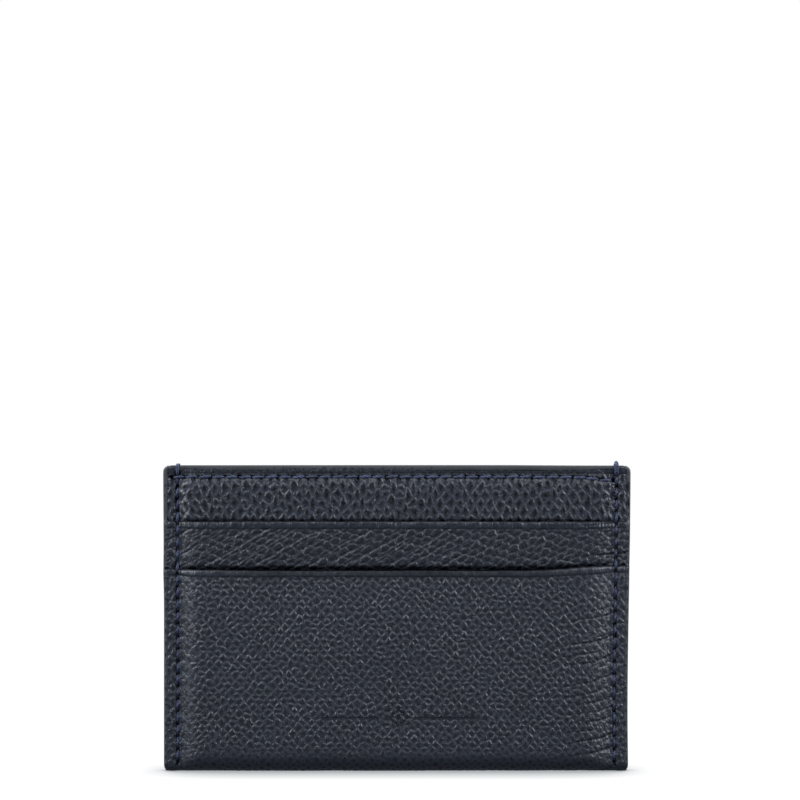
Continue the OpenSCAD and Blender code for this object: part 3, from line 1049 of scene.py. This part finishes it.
def stitch(p0, p1, outward, rising, radius, lift, sink, seed):
    """One stitch: out of a needle hole, slanting over the leather, and into the next hole."""
    t = np.linspace(0, 1, 17)
    outward, rising = np.array(outward, float), np.array(rising, float)
    rise = -sink + (sink + lift) * (1 - np.abs(2 * t - 1) ** 1.9)
    even = t + 0.055 * np.sin(2 * math.pi * t)
    path = p0 + (p1 - p0) * even[:, None] + outward * rise[:, None]
    wander = 0.10 * (hashed(np.array([seed]), np.array([3]), 9)[0] - 0.5)
    path = path + rising * (0.26 * (t - 0.5) + wander)[:, None]
    return tube(path, outward, radius, 1.1, phase=0.9 * seed)


def thread_piece(name, parts):
    """Joins tubes into one piece, which stands for the CAD thread of that name."""
    points, quads, caps, valleys, start = [], [], [], [], 0
    for grid, valley in parts:
        points.append(grid.reshape(-1, 3))
        valleys.append(valley.ravel())
        tube_quads, tube_caps = loft_faces(*valley.shape, 1, start)
        quads.append(tube_quads)
        caps += tube_caps
        start += valley.size
    points, faces = np.concatenate(points), (np.concatenate(quads), caps)
    values = {"groove": np.concatenate(valleys)}
    piece(f"{name}_stitches", points, faces, "thread", f"{name}_thread", values)


def face_depth(z):
    """Depth of the leather face along a side seam."""
    if z < LOWER_MOUTH:
        return OUTER_SEAM
    return POCKET_SEAM if z < UPPER_MOUTH else BODY_FACE


def side_stitches(end, side):
    """The stitches of a side seam on one face, each sunk into the pinched leather."""
    holes = [np.array([end * SEAM_X, side * (face_depth(z) - 0.27), z]) for z in SIDE_HOLES]
    parts = []
    for i, (p0, p1) in enumerate(zip(holes[:-1], holes[1:])):
        lift = 0.12 if p0[1] == p1[1] else 0.22
        seed = i + 40 * side + 90
        parts.append(stitch(p0, p1, (0, side, 0), (1, 0, 0), VISIBLE_R, lift, 0.72, seed))
    return parts


def over_the_top(end, shift, height):
    """The last stitch, which wraps over both top edges; shift crosses it over its twin."""
    z0 = SIDE_HOLES[-1]
    t = np.linspace(0, 1, 44)
    to_end = np.minimum(t, 1 - t)
    turn = math.pi * np.clip((t - 0.30) / 0.40, 0, 1)
    y = -(BODY_FACE + 0.22) * np.cos(turn) * smooth(0.30 + to_end * 12)
    climb = np.minimum(to_end / 0.30, 1)
    z = z0 - 0.5 * (1 - smooth(to_end * 12)) + (TOP_Z - 0.1 - z0) * climb
    z = z + height * np.sin(turn)
    x = end * SEAM_X + shift * np.cos(math.pi * (t - 0.15) * 1.4)
    lean = np.stack([0 * t, -np.cos(turn), np.sin(turn) + 0.01], axis=-1)
    return tube(np.stack([x, y, z], axis=-1), lean, VISIBLE_R * 1.1, 3.2)


def thread_tail(end, places):
    """A short cut end of thread, standing up from the wrap."""
    places = np.array(places, float)
    t = np.linspace(0, 1, 12)
    keys = np.linspace(0, 1, len(places))
    curve = np.stack([np.interp(t, keys, places[:, k]) for k in range(3)], axis=-1)
    curve[:, 0] += end * SEAM_X
    return tube(curve, np.array([0.0, -1.0, 0.2]), VISIBLE_R * 0.8, 1.0)


def side_threads():
    """Needle threads show on the front and wrap over the top, bobbin threads on the back."""
    left = side_stitches(-1, FRONT) + [over_the_top(-1, 0.05, 0.18)]
    tail = [(0.1, -0.3, TOP_Z - 0.15), (0.4, -0.5, TOP_Z + 0.10), (0.5, -0.8, TOP_Z + 0.25)]
    thread_piece("left_needle", left + [thread_tail(-1, tail)])
    wraps = [over_the_top(1, 0.22, 0.85), over_the_top(1, -0.22, 0.60)]
    thread_piece("right_needle", side_stitches(1, FRONT) + wraps)
    thread_piece("left_bobbin", side_stitches(-1, BACK))
    thread_piece("right_bobbin", side_stitches(1, BACK))


def strip_face(x):
    """Depth of the thread bed along the top row, following the leather's swell."""
    return BODY_FACE + strip_swell(x, top_row_z(x)) - 0.17


def row_stitches(xs, depth, z, side, outward, radius, lift, sink):
    """A row of stitches across the holder, through needle holes at xs."""
    holes = np.stack(np.broadcast_arrays(xs, side * depth, z), axis=-1)
    return [
        stitch(p0, p1, (0, outward, 0), (0, 0, 1), radius, lift, sink, i)
        for i, (p0, p1) in enumerate(zip(holes[:-1], holes[1:]))
    ]


def row_threads(side, name):
    """The threads of a top row, and those of the row that closes an upper pocket's bottom."""
    top_z = top_row_z(TOP_ROW_HOLES)
    top_bobbin, base_bobbin = top_bobbin_low[1] + 0.24, base_bobbin_low[1] + 0.2
    # holes, depth, height, which way the thread faces, radius, lift and sink
    rows = {
        "top_needle": (TOP_ROW_HOLES, strip_face(TOP_ROW_HOLES), top_z, 1, VISIBLE_R, 0.16, 0.65),
        "top_bobbin": (TOP_ROW_HOLES, top_bobbin, top_z, -1, 0.11, 0.11, 0.3),
        "base_needle": (BASE_HOLES, bag_high[1], BASE_ROW_Z, 1, THREAD_R, 0.16, 0.5),
        "base_bobbin": (BASE_HOLES, base_bobbin, BASE_ROW_Z, -1, 0.1, 0.1, 0.3),
    }
    for row, (holes, depth, z, facing, *form) in rows.items():
        stitches = row_stitches(holes, depth, z, side, side * facing, *form)
        thread_piece(f"{name}_{row}", stitches)


# ---------- stage


def area_light(name, place, size, power):
    """A cool daylight softbox aimed at the middle of the holder."""
    data = bpy.data.lights.new(name, "AREA")
    data.shape = "RECTANGLE"
    data.size, data.size_y = size
    data.energy = power
    data.color = (0.95, 0.98, 1.05)
    obj = link(name, data)
    obj.location = place
    aim = np.array([0.0, 0.0, 0.035]) - np.array(place)
    aim = aim / np.linalg.norm(aim)
    obj.rotation_euler = (math.acos(-aim[2]), 0.0, math.atan2(-aim[0], aim[1]))


def floor_material():
    """White paper that glows evenly, with the holder's soft contact shadow painted in from ambient
    occlusion.
    """
    material, tree = new_material("floor")
    near = add(tree, "ShaderNodeAmbientOcclusion", Distance=0.016, samples=24)
    surface(
        tree,
        Base_Color=grey(0.02),
        Specular_IOR_Level=0.0,
        # painted contact shadow: the glow dims where ambient occlusion finds the holder close
        Emission_Color=ramp(tree, near.outputs["AO"], (0.45, (0.42, 0.44, 0.46)), (0.93, grey(1.0))),
        Emission_Strength=1.0,
    )
    return material


def studio_world():
    """A dim cool room for the holder to reflect, which the camera sees as plain white."""
    world = bpy.data.worlds.new("studio")
    bpy.context.scene.world = world
    world.use_nodes = True
    tree = world.node_tree
    room = tree.nodes["Background"]
    feed(tree, (0.82, 0.92, 1.10), room.inputs["Color"])
    feed(tree, 0.19, room.inputs["Strength"])
    white = add(tree, "ShaderNodeBackground", Color=(1, 1, 1, 1), Strength=1.0)
    seen = add(tree, "ShaderNodeLightPath").outputs["Is Camera Ray"]
    blend = add(tree, "ShaderNodeMixShader")
    for value, socket in zip((seen, room.outputs[0], white.outputs[0]), blend.inputs):
        tree.links.new(value, socket)
    tree.links.new(blend.outputs[0], tree.nodes["World Output"].inputs["Surface"])


def stage():
    """A floor, a room and five softboxes, two of them behind the holder."""
    r = 3.0
    mesh = bpy.data.meshes.new("floor")
    mesh.from_pydata([(-r, -r, 0), (r, -r, 0), (r, r, 0), (-r, r, 0)], [], [(0, 1, 2, 3)])
    mesh.materials.append(floor_material())
    floor = link("floor", mesh)
    floor.visible_glossy = False
    floor.visible_diffuse = False
    studio_world()
    for end, name in ((-1, "left"), (1, "right")):
        area_light(f"{name}_softbox", (0.54 * end, -0.24, 0.30), (0.4, 0.4), 4.9)
        area_light(f"{name}_rear_softbox", (0.42 * end, 0.40, 0.50), (0.4, 0.4), 5.0)
    area_light("top_softbox", (0.0, -0.42, 0.80), (0.8, 0.25), 5.0)
    bpy.context.scene.view_settings.view_transform = "Standard"


def camera():
    """Level, and a little higher than the holder, which stands low in the picture."""
    distance, frame_width = 0.6042, 0.1798
    data = bpy.data.cameras.new("camera")
    data.sensor_width = 36.0
    data.lens = data.sensor_width * distance / frame_width
    data.clip_start = 0.01
    data.dof.use_dof = False
    obj = link("camera", data)
    obj.location = (0.0007, -distance, 0.0832)
    obj.rotation_euler = (math.pi / 2, 0.0, 0.0)
    bpy.context.scene.camera = obj


def build():
    """Makes every piece: those of both faces, of each face, and of the sides."""
    outer_panel()
    centre_lining()
    for side, name in ((FRONT, "front"), (BACK, "back")):
        upper_pocket(side, name)
        body_panel(side, name)
        board(side, name)
        top_paint(side, name)
        row_threads(side, name)
        flat_lining(side, name, "outer_lining", outer_lining_high[2] - 6.5, 11)
        flat_lining(side, name, "pocket_bag", UPPER_MOUTH - 6.3, 12, pressed=True)
    for end in (-1, 1):
        side_paint(end)
    side_threads()


build()
camera()
stage()
